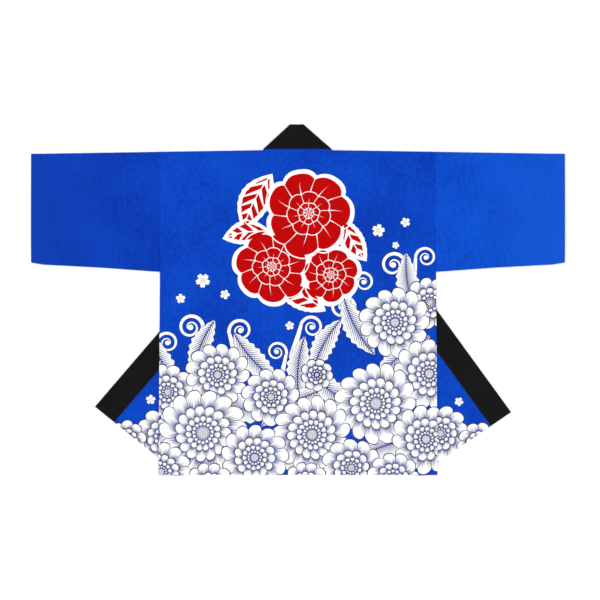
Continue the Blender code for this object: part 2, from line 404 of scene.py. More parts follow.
def placeOnBack(point):
    outwards = Vector((abs(point.x), point.y))
    under = sum(t.underBack(Vector((point.x * t.side, point.y))) for t in turns.values())
    neck = outwards.x < coat["neckHalf"] - coat["neckEase"]
    toTop = coat["neckRise"] - point.y if neck else -beyond(outwards, shoulder)
    toSide, toHem = -beyond(outwards, coatSide), -beyond(point, coatHem)
    (wide, startX), (long, startY) = back["across"], back["along"]
    wave = 0.5 + 0.5 * math.sin(point.x / wide + startX) * math.cos(point.y / long + startY)
    inwards = swell(min(toTop, toSide, toHem) / back["loftEdge"])
    propped = min(1, under / lying["overCloth"])
    loft = (back["loft"] * wave + creaseHeight(point, backCreases)) * inwards * propped
    middle = Vector((*point, under + loft + cotton["doubled"] / 2))
    return middle, Vector((0, 0, 1)), halfCotton(toHem, [toSide, toTop])


def makeBack(materials):
    wide = coat["sideAtHem"]
    draft = flatSheet((-wide, -coat["length"]), (wide, coat["neckRise"]))
    neckEnd = coat["neckHalf"] - coat["neckEase"]
    for turn in turns.values():
        cut(draft, turn.onCoat(lineAt((neckEnd, 0), (1, 0))))
        cut(draft, turn.onCoat(coatSide), trim=True)
    for turn in turns.values():
        top = turn.onCoat(shoulder)

        def onShoulder(p):
            return p.x * turn.side > neckEnd

        cut(draft, top, where=onShoulder, trim=True)
        edgeRows(draft, top, coat["seamWidth"], where=onShoulder)
        edgeRows(draft, turn.onCoat(coatSide), coat["seamWidth"])
        for line in turn.backLines():
            cut(draft, turn.onCoat(line))
    neckLine = lineAt((0, coat["neckRise"]), (0, 1))
    edgeRows(draft, neckLine, where=lambda p: abs(p.x) < neckEnd)
    edgeRows(draft, coatHem, coat["hemWidth"])
    return makeWall(draft, "backCloth", 1, placeOnBack, 1, materials)


# The fronts: each turned back under itself along its slanting fold
def frontPlacer(turn):
    def place(point):
        plan, share, direction = turn.roll.lay(point)
        height = turn.underFront(plan) * (1 - share) + cotton["doubled"] / 2
        toBand = point.x - coat["neckHalf"] - lying["seamGap"]
        seams = [-beyond(point, coatSide), -beyond(point, shoulder)]
        half = halfCotton(-beyond(point, frontHem), seams, toBand)
        return Vector((*plan, height)), direction, half

    return place


def makeFront(name, turn, materials):
    inner = coat["neckHalf"] + lying["seamGap"]
    draft = flatSheet((inner, frontHemY(bandFree)), (coat["sideAtHem"], 0))
    edges = [(shoulder, "seamWidth"), (coatSide, "seamWidth"), (frontHem, "hemWidth")]
    for edge, width in edges:
        cut(draft, edge, trim=True)
        edgeRows(draft, edge, coat[width])
    edgeRows(draft, lineAt((inner, 0), (-1, 0)))
    for line in turn.roll.cuts():
        cut(draft, line)
    for line in turn.flapLines() + [leanEnd]:
        cut(draft, line, where=turn.roll.before)
    snip = lying["snip"]
    for step in (-snip, snip):
        cut(draft, shifted(turn.fold, step), where=lambda p: p.x < inner + 2 * lying["grid"])
    snipEdge = lineAt((inner + snip, 0), (-1, 0))
    cut(draft, snipEdge, where=lambda p: abs(beyond(p, turn.fold)) < snip, trim=True)
    return makeWall(draft, f"frontCloth{name}", turn.side, frontPlacer(turn), -1, materials)


# The collar band: round the back of the neck, down the front and out along the turned-back flap
def bandPlacer(turn):
    shift = 2 * turn.roll.begin + turn.roll.arc
    peakY = coat["neckRise"] + lying["seamGap"] - shift / math.sqrt(2)
    peak = lineAt((coat["neckHalf"], peakY), (1, 1))
    over = Roll(peak, lying["overBand"], band["thick"], under=False)

    def place(point):
        if beyond(point, peak) > over.begin:
            plan, share, direction = over.lay(point)
            height = turn.underFront(plan) + share * lying["overBand"]
            if share == 1:
                height = turn.underBack(plan)
        else:
            plan, share, direction = turn.roll.lay(point)
            height = turn.underFront(plan) * (1 - share)
        toHem = -beyond(point, frontHem)
        inside = min(point.x - bandFree, coat["neckHalf"] - point.x, toHem)
        half = band["thick"] / 2 * rimShare(inside, band["thick"])
        return Vector((*plan, height + band["thick"] / 2)), direction, half

    return over, place


def makeBand(name, turn, materials):
    over, place = bandPlacer(turn)
    below = turn.roll.before
    draft = flatSheet((bandFree, frontHemY(bandFree)), (coat["neckHalf"], 2 * coat["neckHalf"]))
    middle = over.unfolded(lineAt((lying["seamGap"] / 4, 0), (-1, 0)))
    for edge in (middle, frontHem):
        cut(draft, edge, trim=True)
    sides = lineAt((bandFree, 0), (-1, 0)), lineAt((coat["neckHalf"], 0), (1, 0))
    for edge in (*sides, frontHem):
        edgeRows(draft, edge, thick=band["thick"])
    for line in over.cuts() + turn.roll.cuts():
        cut(draft, line)
    for line in turn.flapLines():
        cut(draft, line, where=lambda p: below(p) and p.y < 0)
    for line in turn.backLines():
        cut(draft, over.unfolded(line), where=over.flipped)
    for line in (leanEnd, lineAt((0, 0), (0, 1))):
        cut(draft, line, where=lambda p: below(p) and p.y < lying["grid"])
    return makeWall(draft, f"bandCloth{name}", turn.side, place, 0, materials)


# The sleeves: folded along the top of the arm
sleeve = {
    "loft": 1.7,
    "loftEdge": 70.0,
    "waves": (61, 83),
    "spare": 60,  # draft beyond the cut, trimmed away
    "underside": (
        (coat["sideAtShoulder"], -297.0),
        (479.0, -286.5),
        (cuffReach - 30, -279.0),
        (cuffReach, -274.0),
    ),
}
sleeveRoll = Roll(shoulder, lying["overCloth"], cotton["thick"], under=True)
armhole = (coatSide[0] + coatSide[1] * lying["seamGap"], -coatSide[1])
cuff = lineAt((cuffReach, 0), (1, 0))
corners = sleeve["underside"]
lower = [lineThrough(first, second, (0, 0)) for first, second in zip(corners, corners[1:])]
armMiddle = corners[1][0]


def placeOnSleeve(point):
    plan, share, direction = sleeveRoll.lay(point)
    toUnder = -beyond(plan, lower[0] if plan.x < armMiddle else lower[1])
    toUnder = min(toUnder, -beyond(plan, lower[2]))
    toCuff, toArm = -beyond(plan, cuff), -beyond(plan, armhole)
    height = lying["overCloth"] * (1 - share) + cotton["doubled"] / 2
    if share == 0:
        inwards = swell(min(toUnder, -beyond(plan, shoulder), toArm) / sleeve["loftEdge"])
        wave = 0.6 + 0.4 * math.sin(plan.x / sleeve["waves"][0] + plan.y / sleeve["waves"][1])
        height += (sleeve["loft"] * wave + creaseHeight(plan, sleeveCreases)) * inwards
    return Vector((*plan, height)), direction, halfCotton(toCuff, [toUnder, toArm])


def makeSleeve(name, turn, materials):
    spare = sleeve["spare"]
    reach = -corners[0][1] + spare
    draft = flatSheet((coat["sideAtShoulder"] - spare, -reach), (cuffReach + spare, reach))
    for line in sleeveRoll.cuts():
        cut(draft, line)
    for flipped in (False, True):

        def onLayer(p):
            return sleeveRoll.flipped(p) == flipped

        def nearArm(p):
            return onLayer(p) and sleeveRoll.lay(p)[0].x < armMiddle

        def nearCuff(p):
            return onLayer(p) and sleeveRoll.lay(p)[0].x > armMiddle

        across = lineAt((armMiddle, 0), (1, 0))
        cut(draft, sleeveRoll.unfolded(across) if flipped else across, where=onLayer)
        edges = [
            (armhole, coat["seamWidth"], onLayer),
            (cuff, coat["hemWidth"], onLayer),
            (lower[0], coat["seamWidth"], nearArm),
            (lower[1], coat["seamWidth"], nearCuff),
            (lower[2], 0, nearCuff),
        ]
        for edge, width, where in edges:
            edge = sleeveRoll.unfolded(edge) if flipped else edge
            cut(draft, edge, where=where, trim=True)
            edgeRows(draft, edge, width, where=where)
    return makeWall(draft, f"sleeveCloth{name}", turn.side, placeOnSleeve, 1, materials)


# Machine stitches: small oval beads of thread along a line on the flat draft, in mm
sewing = {
    "pitch": 3.3,
    "long": 2.6,
    "wide": 0.62,
    "high": 0.34,
    "onHem": 3.0,  # from the hem's inner edge
    "onBand": 2.5,  # from the band's seam
    "ends": 4.0,
    "cuffRows": ((-276, -12), (-4, 262)),
}


def sewRows(name, side, place, rows, face, material):
    stitches = bmesh.new()
    flip = Vector((side, 1, 1))
    for start, end in rows:
        start, end = Vector(start), Vector(end)
        count = int((end - start).length / sewing["pitch"])
        step = (end - start) / count
        reach = step.normalized() * sewing["long"] / 2
        for i in range(count):
            middle = start + step * (i + 0.5)
            ends = []
            for point in (middle - reach, middle + reach):
                spot, direction, half = place(point)
                ends.append(leaned((spot + direction * face * half) * flip))
            up = (place(middle)[1] * face * flip).normalized()
            along = (ends[1] - ends[0]).normalized()
            aside = up.cross(along).normalized()
            size = Matrix.Diagonal((sewing["long"] / 2, sewing["wide"] / 2, sewing["high"] / 2, 1))
            turned = Matrix((along, aside, up)).transposed().to_4x4()
            centre = Matrix.Translation((ends[0] + ends[1]) / 2 + Vector((0, neckY, 0)))
            bmesh.ops.create_icosphere(
                stitches, subdivisions=1, radius=1, matrix=centre @ turned @ size
            )
    bmesh.ops.scale(stitches, vec=(mm, mm, mm), verts=stitches.verts)
    bmesh.ops.recalc_face_normals(stitches, faces=stitches.faces)
    for face in stitches.faces:
        face.smooth = True
    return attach(newPiece(name, stitches, [material]), "root")


# Colours are sRGB hex values
def linear(hexColour):
    values = [int(hexColour[i : i + 2], 16) / 255 for i in (1, 3, 5)]
    return [v / 12.92 if v <= 0.04045 else ((v + 0.055) / 1.055) ** 2.4 for v in values] + [1.0]


# Adds a node with its settings, and links or fills its live inputs in order. What follows a dot
# is its operation or a Mix node's type, and a kind in capitals is an operation of a Math node.
def node(tree, kind, *inputs, **settings):
    kind, _, way = ("Math." + kind if kind.isupper() else kind).partition(".")
    made = tree.nodes.new("ShaderNode" + kind)
    if way:
        setattr(made, "data_type" if kind == "Mix" else "operation", way)
    for name, value in settings.items():
        setattr(made, name, value)
    live = [socket for socket in made.inputs if socket.enabled]
    for socket, value in zip(live, inputs):
        if isinstance(value, bpy.types.Node):
            value = next(out for out in value.outputs if out.enabled)
        if isinstance(value, bpy.types.NodeSocket):
            tree.links.new(value, socket)
        else:
            socket.default_value = value
    return made


# Links a node's live output to a socket
def give(made, socket):
    made.id_data.links.new(next(out for out in made.outputs if out.enabled), socket)


# What each motif's group is given first, and what it gives: how far in from its edge a place is,
# its drawn lines, and its soft shade
motifInputs = ["Place", "Centre", "Radius", "Turn", "Line"]
motifOutputs = ["Inside", "Ink", "Veil"]


# A motif's node group with its sockets, and the way there from its centre
def newMotif(name, *more):
    tree = bpy.data.node_groups.new(name, "ShaderNodeTree")
    for way, labels in (("INPUT", [*motifInputs, *more]), ("OUTPUT", motifOutputs)):
        for label in labels:
            kind = "NodeSocketVector" if label in ("Place", "Centre") else "NodeSocketFloat"
            tree.interface.new_socket(label, in_out=way, socket_type=kind)
    given = tree.nodes.new("NodeGroupInput").outputs
    add = partial(node, tree)
    offset = add("VectorMath.SUBTRACT", given["Place"], given["Centre"])
    return tree, add, given, offset


def finishMotif(tree, *values):
    result = tree.nodes.new("NodeGroupOutput").inputs
    for value, label in zip(values, motifOutputs):
        give(value, result[label])
    return tree


# A blossom of many petals in rings, each ring under the next one in, round a dotted heart
flower = {
    "tipShape": 2.6,
    "waves": 3,
    "wavy": 0.025,
    "shade": 1.25,
    "hatchFade": 1.6,
    "heart": 0.11,
    "dotRings": 30,
    "dots": 0.3,
}


def makeFlowerGroup():
    labels = "Petals", "Tip", "Step", "Fine", "Hatching", "Swirl"
    tree, add, given, offset = newMotif("blossomInRings", *labels)
    split = add("SeparateXYZ", offset)
    distance = add("VectorMath.LENGTH", offset)
    radius = add("DIVIDE", distance, given["Radius"])
    angle = add("ARCTAN2", split.outputs[1], split.outputs[0])
    turned = add("MULTIPLY_ADD", radius, given["Swirl"], angle)
    turned = add("ADD", turned, given["Turn"])
    perTurn = add("DIVIDE", given["Petals"], 2 * math.pi)
    petal = add("MULTIPLY", turned, perTurn)
    wobble = add("SINE", add("MULTIPLY_ADD", angle, flower["waves"], given["Turn"]))
    even = add("MULTIPLY", add("PINGPONG", petal, 0.5), 2)
    odd = add("SUBTRACT", 1, even)
    depth = add("LOGARITHM", radius, given["Step"])
    edges, rings = [], []
    for first, across in ((0, even), (1, odd)):
        hollow = add("POWER", across, flower["tipShape"])
        tip = add("SUBTRACT", 1 - flower["wavy"], add("MULTIPLY", hollow, given["Tip"]))
        edge = add("MULTIPLY_ADD", wobble, flower["wavy"], tip)
        edges.append(edge)
        level = add("SUBTRACT", depth, add("LOGARITHM", edge, given["Step"]))
        ring = add("SNAP", add("SUBTRACT", level, first), 2)
        rings.append((level, add("ADD", ring, first)))
    (evenLevel, evenRing), (oddLevel, oddRing) = rings
    useEven = add("GREATER_THAN", evenRing, oddRing)
    deepOdd = add("SUBTRACT", oddLevel, oddRing)
    deepEven = add("SUBTRACT", evenLevel, evenRing)
    deep = add("Mix", useEven, deepOdd, deepEven)
    across = add("Mix", useEven, odd, even)
    toEven = add("SUBTRACT", add("ADD", oddRing, 1), evenLevel)
    toOdd = add("SUBTRACT", add("ADD", evenRing, 1), oddLevel)
    toNext = add("Mix", useEven, toEven, toOdd)
    shade = add("MULTIPLY_ADD", toNext, -flower["shade"], 1, use_clamp=True)
    ringWidth = add("MULTIPLY", distance, add("SUBTRACT", 1, given["Step"]))
    outline = add("LESS_THAN", add("MULTIPLY", deep, ringWidth), given["Line"])
    petalWidth = add("DIVIDE", distance, perTurn)
    toSide = add("MULTIPLY", add("SUBTRACT", 1, across), petalWidth)
    side = add("LESS_THAN", toSide, given["Line"])
    hatch = add("PINGPONG", add("MULTIPLY", petal, given["Fine"]), 0.5)
    thick = add("MULTIPLY", add("POWER", shade, flower["hatchFade"]), given["Hatching"])
    lines = add("MAXIMUM", add("LESS_THAN", hatch, thick), side)
    pips = add("PINGPONG", add("MULTIPLY", radius, flower["dotRings"]), 0.5)
    pips = add("MAXIMUM", pips, add("PINGPONG", petal, 0.5))
    dots = add("LESS_THAN", pips, flower["dots"])
    outOfHeart = add("GREATER_THAN", radius, flower["heart"])
    inked = add("Mix", outOfHeart, dots, add("MAXIMUM", lines, outline))
    inside = add("MULTIPLY", add("SUBTRACT", edges[0], radius), given["Radius"])
    return finishMotif(tree, inside, inked, shade)


# A toothed leaf with a midrib and slanting veins
leaf = {"bend": 0.13, "teeth": 4.5, "hollow": 0.85, "slant": 1.1, "vein": 0.26}


def makeLeafGroup():
    tree, add, given, offset = newMotif("toothedLeaf", "Slim", "Veins", "Teeth")
    turned = add("VectorRotate", offset, (0, 0, 0), given["Turn"], rotation_type="Z_AXIS")
    split = add("SeparateXYZ", turned)
    along = add("DIVIDE", split.outputs[0], given["Radius"])
    squared = add("MULTIPLY", along, along)
    bend = add("MULTIPLY", add("MULTIPLY", squared, given["Radius"]), leaf["bend"])
    aside = add("ABSOLUTE", add("SUBTRACT", split.outputs[1], bend))
    belly = add("SUBTRACT", 1, squared, use_clamp=True)
    tooth = add("PINGPONG", add("MULTIPLY", along, leaf["teeth"]), 0.5)
    tooth = add("MULTIPLY_ADD", tooth, given["Teeth"], leaf["hollow"])
    toothed = add("MULTIPLY", belly, tooth)
    fullWidth = add("MULTIPLY", given["Radius"], given["Slim"])
    width = add("MULTIPLY", toothed, fullWidth)
    inside = add("SUBTRACT", width, aside)
    slant = add("SUBTRACT", add("MULTIPLY", aside, leaf["slant"]), split.outputs[0])
    vein = add("PINGPONG", add("MULTIPLY", slant, given["Veins"]), 0.5)
    nearRib = add("SUBTRACT", 1, add("DIVIDE", aside, width), use_clamp=True)
    veins = add("LESS_THAN", vein, add("MULTIPLY", nearRib, leaf["vein"]))
    rib = add("LESS_THAN", aside, given["Line"])
    outline = add("LESS_THAN", inside, given["Line"])
    inked = add("MAXIMUM", add("MAXIMUM", veins, rib), outline)
    return finishMotif(tree, inside, inked, nearRib)


# A young fern tip: two turns that widen outwards, and then its stem, in shares of its radius
fern = {
    "pitch": 0.5,
    "turns": 1.5,
    "thin": 0.03,
    "widen": 0.15,
    "knob": 0.26,
    "stem": 0.18,
    "stemWiden": 0.05,
    "shade": 0.5,
}


def makeFernGroup():
    tree, add, given, offset = newMotif("fernTip", "Hand", "Stem")
    turned = add("VectorRotate", offset, (0, 0, 0), given["Turn"], rotation_type="Z_AXIS")
    split = add("SeparateXYZ", turned)
    high = add("MULTIPLY", split.outputs[1], -1)
    across = add("MULTIPLY", split.outputs[0], given["Hand"])
    distance = add("VectorMath.LENGTH", offset)
    angle = add("DIVIDE", add("ARCTAN2", high, across), 2 * math.pi)
    angle = add("WRAP", angle, 1, 0)
    pitch = add("MULTIPLY", given["Radius"], fern["pitch"])
    wound = add("SUBTRACT", add("DIVIDE", distance, pitch), angle)
    offLine = add("MULTIPLY", add("PINGPONG", wound, 0.5), pitch)
    thin = add("MULTIPLY", given["Radius"], fern["thin"])
    width = add("MULTIPLY_ADD", distance, fern["widen"], thin)
    over = add("MULTIPLY", add("SUBTRACT", fern["turns"], wound), given["Radius"])
    winding = add("MINIMUM", add("SUBTRACT", width, offLine), over)
    knob = add("SUBTRACT", add("MULTIPLY", given["Radius"], fern["knob"]), distance)
    aside = add("ABSOLUTE", add("SUBTRACT", across, given["Radius"]))
    foot = add("MULTIPLY", given["Radius"], fern["stem"])
    thick = add("MULTIPLY_ADD", high, fern["stemWiden"], foot)
    stem = add("MINIMUM", add("SUBTRACT", thick, aside), high)
    stem = add("MINIMUM", stem, add("SUBTRACT", given["Stem"], high))
    inside = add("MAXIMUM", add("MAXIMUM", winding, knob), stem)
    inked = add("LESS_THAN", inside, given["Line"])
    return finishMotif(tree, inside, inked, add("MULTIPLY", inked, fern["shade"]))


# A small blossom of five notched petals
blossom = {
    "petals": 5,
    "notch": (9, -0.16),
    "valley": (2.4, 0.5),
    "stamens": 3,
    "stamenWide": 0.12,
    "stamenLong": 0.42,
    "shade": 0.6,
}


def makeBlossomGroup():
    tree, add, given, offset = newMotif("fivePetalBlossom")
    split = add("SeparateXYZ", offset)
    radius = add("DIVIDE", add("VectorMath.LENGTH", offset), given["Radius"])
    angle = add("ARCTAN2", split.outputs[1], split.outputs[0])
    angle = add("ADD", angle, given["Turn"])
    petal = add("MULTIPLY", angle, blossom["petals"] / (2 * math.pi))
    across = add("MULTIPLY", add("PINGPONG", petal, 0.5), 2)
    (sharp, deep), (broad, low) = blossom["notch"], blossom["valley"]
    notch = add("POWER", add("SUBTRACT", 1, across), sharp)
    valley = add("MULTIPLY", add("POWER", across, broad), low)
    edge = add("SUBTRACT", add("MULTIPLY_ADD", notch, deep, 1), valley)
    inside = add("MULTIPLY", add("SUBTRACT", edge, radius), given["Radius"])
    stamen = add("PINGPONG", add("MULTIPLY", petal, blossom["stamens"]), 0.5)
    stamen = add("LESS_THAN", stamen, blossom["stamenWide"])
    short = add("LESS_THAN", radius, blossom["stamenLong"])
    outline = add("LESS_THAN", inside, given["Line"])
    inked = add("MAXIMUM", add("MULTIPLY", stamen, short), outline)
    veil = add("SUBTRACT", blossom["shade"], radius, use_clamp=True)
    return finishMotif(tree, inside, inked, veil)


groups = {
    "flower": makeFlowerGroup(),
    "leaf": makeLeafGroup(),
    "fern": makeFernGroup(),
    "blossom": makeBlossomGroup(),
}
print("printed motifs ready")

# The print by kind, from the lowest motif to the top one: place and size in mm, turn in degrees,
# and a fern tip's hand
backPrint = {
    "fern": [
        (-318, -470, 26, 10, -1), (-262, -432, 30, -8, 1), (-140, -440, 28, -15, -1),
        (-52, -492, 24, 12, 1), (34, -432, 27, 16, -1), (108, -384, 30, -5, 1),
        (160, -322, 25, 14, -1), (232, -280, 30, -10, 1), (312, -262, 25, 4, -1),
    ],
    "leaf": [
        (-330, -520, 78, 60), (-238, -478, 76, 112), (-110, -512, 84, 48), (0, -530, 80, 95),
        (62, -474, 78, 118), (140, -432, 84, 62), (268, -330, 82, 80), (-140, -630, 96, 15),
        (-20, -620, 90, 150), (96, -600, 92, 35), (250, -500, 88, 140), (-320, -680, 92, 145),
        (-40, -745, 95, 20), (232, -715, 96, 165),
    ],
    "flower": [
        (322, -372, 66, 15), (236, -420, 90, -40), (-318, -590, 72, 75), (-196, -548, 82, -10),
        (46, -548, 42, 30), (-66, -602, 74, -55), (320, -545, 90, 5), (190, -618, 104, -80),
        (-232, -690, 112, 25), (34, -694, 100, -65), (312, -705, 88, 50), (-106, -750, 86, 35),
        (130, -775, 76, -12), (-335, -785, 78, 70), (232, -800, 66, -20), (-215, -820, 62, 40),
        (20, -815, 58, 10),
    ],
    "blossom": [
        (-232, -318, 19, 20), (-286, -362, 13, 50), (-178, -352, 13, 5), (196, -196, 17, 65),
        (262, -176, 13, 30), (238, -232, 10, 80), (-20, -428, 12, 45),
    ],
}
# The hem of each front, on the wearer's left and right
frontPrint = {
    "Left": {
        "leaf": [(-196, -660, 84, 60), (-262, -610, 84, 120)],
        "flower": [
            (-196, -748, 74, 30), (-290, -700, 80, -10), (-132, -812, 50, -35),
            (-318, -790, 70, 50),
        ],
        "blossom": [(-112, -700, 13, 20)],
    },
    "Right": {
        "leaf": [(200, -652, 84, 110), (262, -610, 84, 50)],
        "flower": [
            (190, -742, 72, -60), (284, -694, 78, 25), (322, -784, 70, 5), (130, -816, 54, 40),
        ],
        "blossom": [(108, -706, 12, 60)],
    },
}
# The red sprig in the middle of the back: three broad-petalled blossoms over leaves
redSprig = {
    "broadLeaf": [
        (-106, -122, 78, 118), (-126, -200, 60, 172), (10, -356, 68, 205), (132, -222, 60, 62),
    ],
    "broadFlower": [(80, -304, 77, 20), (-64, -284, 98, -50), (26, -154, 113, 35)],
}
sprigLine = {"white": 0.0105, "gap": 0.003}  # round it all and between its motifs, in m


# What a motif's group is told: width of its lines in m, then petals, hollow between their tips,
# step from ring to ring, fine lines, hatching and swirl of a blossom; slimness, veins and teeth
# of a leaf; hand and stem of a fern tip
def motifShape(kind, size, turn, hand=1):
    swirl = math.copysign(0.32, turn)
    petals, step = 5 + 2 * round(size / 22), 0.56 + size / 1400
    return {
        "flower": ("flower", 0.002, petals, 0.16, step, 8, 0.38, swirl),
        "broadFlower": ("flower", 0.0014, 7, 0.12, 0.5, 2, 0.06, swirl),
        "leaf": ("leaf", 0.0012, 0.36, 150, 0.4),
        "broadLeaf": ("leaf", 0.0014, 0.56, 38, 0.1),
        "fern": ("fern", 0.001, hand, 0.08),
        "blossom": ("blossom", 0.0009),
    }[kind]


def listed(table):
    return [(kind, *motif) for kind, motifs in table.items() for motif in motifs]


# Lays one motif over the place, and gives its group node
def layMotif(tree, place, motif):
    kind, x, y, size, turn, *hand = motif
    group, *shape = motifShape(kind, size, turn, *hand)
    made = tree.nodes.new("ShaderNodeGroup")
    made.node_tree = groups[group]
    tree.links.new(place, made.inputs["Place"])
    made.inputs["Centre"].default_value = (x * mm, y * mm, 0)
    made.inputs["Radius"].default_value = size * mm
    made.inputs["Turn"].default_value = math.radians(turn)
    for socket, value in zip(list(made.inputs)[motifInputs.index("Line") :], shape):
        socket.default_value = value
    return made.outputs


# The motifs one over another: where the print is white, inked and softly shaded
def layPrint(tree, place, motifs):
    add = partial(node, tree)
    white = inked = veil = 0.0
    for motif in motifs:
        given = layMotif(tree, place, motif)
        covers = add("GREATER_THAN", given["Inside"], 0)
        white = add("MAXIMUM", white, covers)
        inked = add("Mix", covers, inked, given["Ink"])
        veil = add("Mix", covers, veil, given["Veil"])
    return white, inked, veil


def newMaterial(name):
    material = bpy.data.materials.new(name)
    material.use_nodes = True
    return material, material.node_tree.nodes["Principled BSDF"]


# Dyed cotton in plain weave, singed and pressed: a matt, deep and slightly uneven blue with a
# faint sheen, slubs along the warp, and the print soaked in flat. Painted shade darkens it between
# the threads, and the sleeves carry painted light and shade. Sizes are in mm.
clothLook = {
    "thread": 1.3,  # real threads are 0.4 mm apart; drawn coarser so that the weave shows
    "slub": (5.0, 60.0),
    "mottle": (11.0, 130.0),
    "fuzz": 1.111,
    "uneven": (0.75, 1.25, 0, 1),
    "slubLift": (0.4, 0.8, 0, 0.3),
    "cuffPaintedLight": (420, 640, 0.75),  # painted light and shade out to a sleeve's cuff: from and to, out from the neck, and how much
    "inkPatch": 16.667,  # where the ink turns from indigo to brown
    "inkTurn": (0.4, 0.6, 0, 1),
    "veil": (3, 0.8),
    "relief": {"weave": 0.5, "fuzz": 0.8},
    "bump": (0.35, 0.0004, 0.1),  # strength, height in m and filter
    "paintedShadeBetweenThreads": (0.05, 0.97),  # painted shade, darker between the threads
    "roughness": (0.78, 0.9),
    "specular": 0.06,
    "sheen": 0.03,
    "sheenRoughness": 0.5,
}
inks = {
    "white": "#FCFCFA",
    "lilac": "#AAB6E6",
    "indigo": "#1F318C",
    "brown": "#3C2F3C",
    "red": "#BA0001",
}
# The dyes' tones: base, deeper and lighter, for the uneven blue. The sleeves' blues are painted
# light and shade: the left one darker, darker still at its cuff; the right one lighter, lighter
# still at its cuff.
dyesAndPaintedLight = {
    "blue": {"base": "#0446C1", "deep": "#0236AB", "light": "#0A4EC8"},
    "blueLeftArm": {"base": "#033EB4", "deep": "#022F9F", "light": "#0746BC", "cuff": "#0A3AA9"},
    "blueRightArm": {"base": "#0650CD", "deep": "#033FB8", "light": "#0C5AD4", "cuff": "#1055CB"},
    "blueReverse": {"base": "#3A63C6", "deep": "#2F58BD", "light": "#4A70CE"},
    "black": {"base": "#141417", "deep": "#0F0F12", "light": "#1B1B1F"},
}


def makeCloth(name, dye, motifs=(), sprig=()):
    material, shader = newMaterial(name)
    tree = material.node_tree
    add = partial(node, tree)
    place = add("UVMap", uv_map="cut").outputs[0]
    split = add("SeparateXYZ", place)
    colours = {label: linear(value) for label, value in {**inks, **dyesAndPaintedLight[dye]}.items()}

    # Uneven dye, fine and broad, and slubs along the warp; on a sleeve, painted light and shade
    # out to its cuff
    across, along = (1 / (size * mm) for size in clothLook["slub"])
    fine, broad = (1 / (size * mm) for size in clothLook["mottle"])
    fine = add("TexNoise", place, fine, 3, 0.65, noise_dimensions="2D")
    broad = add("TexNoise", place, broad, 2, 0.5, noise_dimensions="2D")
    uneven = add("MapRange", add("ADD", fine, broad), *clothLook["uneven"])
    stretched = add("VectorMath.MULTIPLY", place, (across, along, 1))
    slubs = add("TexNoise", stretched, 1, 2, 0.6, noise_dimensions="2D")
    ground = add("Mix.RGBA", uneven, colours["deep"], colours["base"])
    # Painted light and shade: towards a sleeve's cuff its blue turns darker on the left, lighter
    # on the right
    if "cuff" in colours:
        start, end, most = clothLook["cuffPaintedLight"]
        outwards = add("ABSOLUTE", split.outputs[0])
        paintedCuffLight = add("MapRange", outwards, start * mm, end * mm, 0, most)
        ground = add("Mix.RGBA", paintedCuffLight, ground, colours["cuff"])
    lifted = add("MapRange", slubs.outputs[0], *clothLook["slubLift"])
    colour = add("Mix.RGBA", lifted, ground, colours["light"])

    if motifs:
        white, inked, veil = layPrint(tree, place, motifs)
        power, most = clothLook["veil"]
        faint = add("MULTIPLY", add("POWER", veil, power), most)
        paper = add("Mix.RGBA", faint, colours["white"], colours["lilac"])
        patches = 1 / (clothLook["inkPatch"] * mm)
        patches = add("TexNoise", place, patches, 1, 0.5, noise_dimensions="2D")
        tone = add("MapRange", patches.outputs[0], *clothLook["inkTurn"])
        ink = add("Mix.RGBA", tone, colours["indigo"], colours["brown"])
        printed = add("Mix.RGBA", inked, paper, ink)
        colour = add("Mix.RGBA", white, colour, printed)
    if sprig:
        reach, drawn = -1.0, 0.0
        for motif in sprig:
            given = layMotif(tree, place, motif)
            inner = add("GREATER_THAN", given["Inside"], sprigLine["gap"])
            edge = add("GREATER_THAN", given["Inside"], 0)
            blank = add("Mix", edge, drawn, 1.0)
            drawn = add("Mix", inner, blank, given["Ink"])
            reach = add("MAXIMUM", reach, given["Inside"])
        edge = add("GREATER_THAN", reach, 0)
        fill = add("GREATER_THAN", reach, sprigLine["white"])
        red = add("Mix.RGBA", drawn, colours["red"], colours["white"])
        both = add("Mix.RGBA", fill, colours["white"], red)
        colour = add("Mix.RGBA", edge, colour, both)

    # Threads over and under each other, in the bump and as painted shade between them
    turns = 2 * math.pi / (clothLook["thread"] * mm)
    warp = add("SINE", add("MULTIPLY", split.outputs[0], turns))
    weft = add("SINE", add("MULTIPLY", split.outputs[1], turns))
    weave = add("MULTIPLY", warp, weft)
    fuzz = 1 / (clothLook["fuzz"] * mm)
    fuzz = add("TexNoise", place, fuzz, 2, 0.6, noise_dimensions="2D")
    relief = add("MULTIPLY_ADD", fuzz, clothLook["relief"]["fuzz"], slubs)
    relief = add("MULTIPLY_ADD", weave, clothLook["relief"]["weave"], relief)
    give(add("Bump", *clothLook["bump"], relief), shader.inputs["Normal"])
    # Painted shade: the colour is darker between the threads
    shaded = add("MULTIPLY_ADD", weave, *clothLook["paintedShadeBetweenThreads"])
    give(add("VectorMath.SCALE", colour, shaded), shader.inputs["Base Color"])
    roughness = add("MapRange", fuzz, 0, 1, *clothLook["roughness"])
    give(roughness, shader.inputs["Roughness"])
    shader.inputs["Specular IOR Level"].default_value = clothLook["specular"]
    shader.inputs["Sheen Weight"].default_value = clothLook["sheen"]
    shader.inputs["Sheen Roughness"].default_value = clothLook["sheenRoughness"]
    return material


# Spun polyester, twisted: a little smoother than the cloth, with painted shade in the hollows at
# each twist
threadLook = {"twist": 0.6667, "hollow": 0.6, "roughness": 0.6}


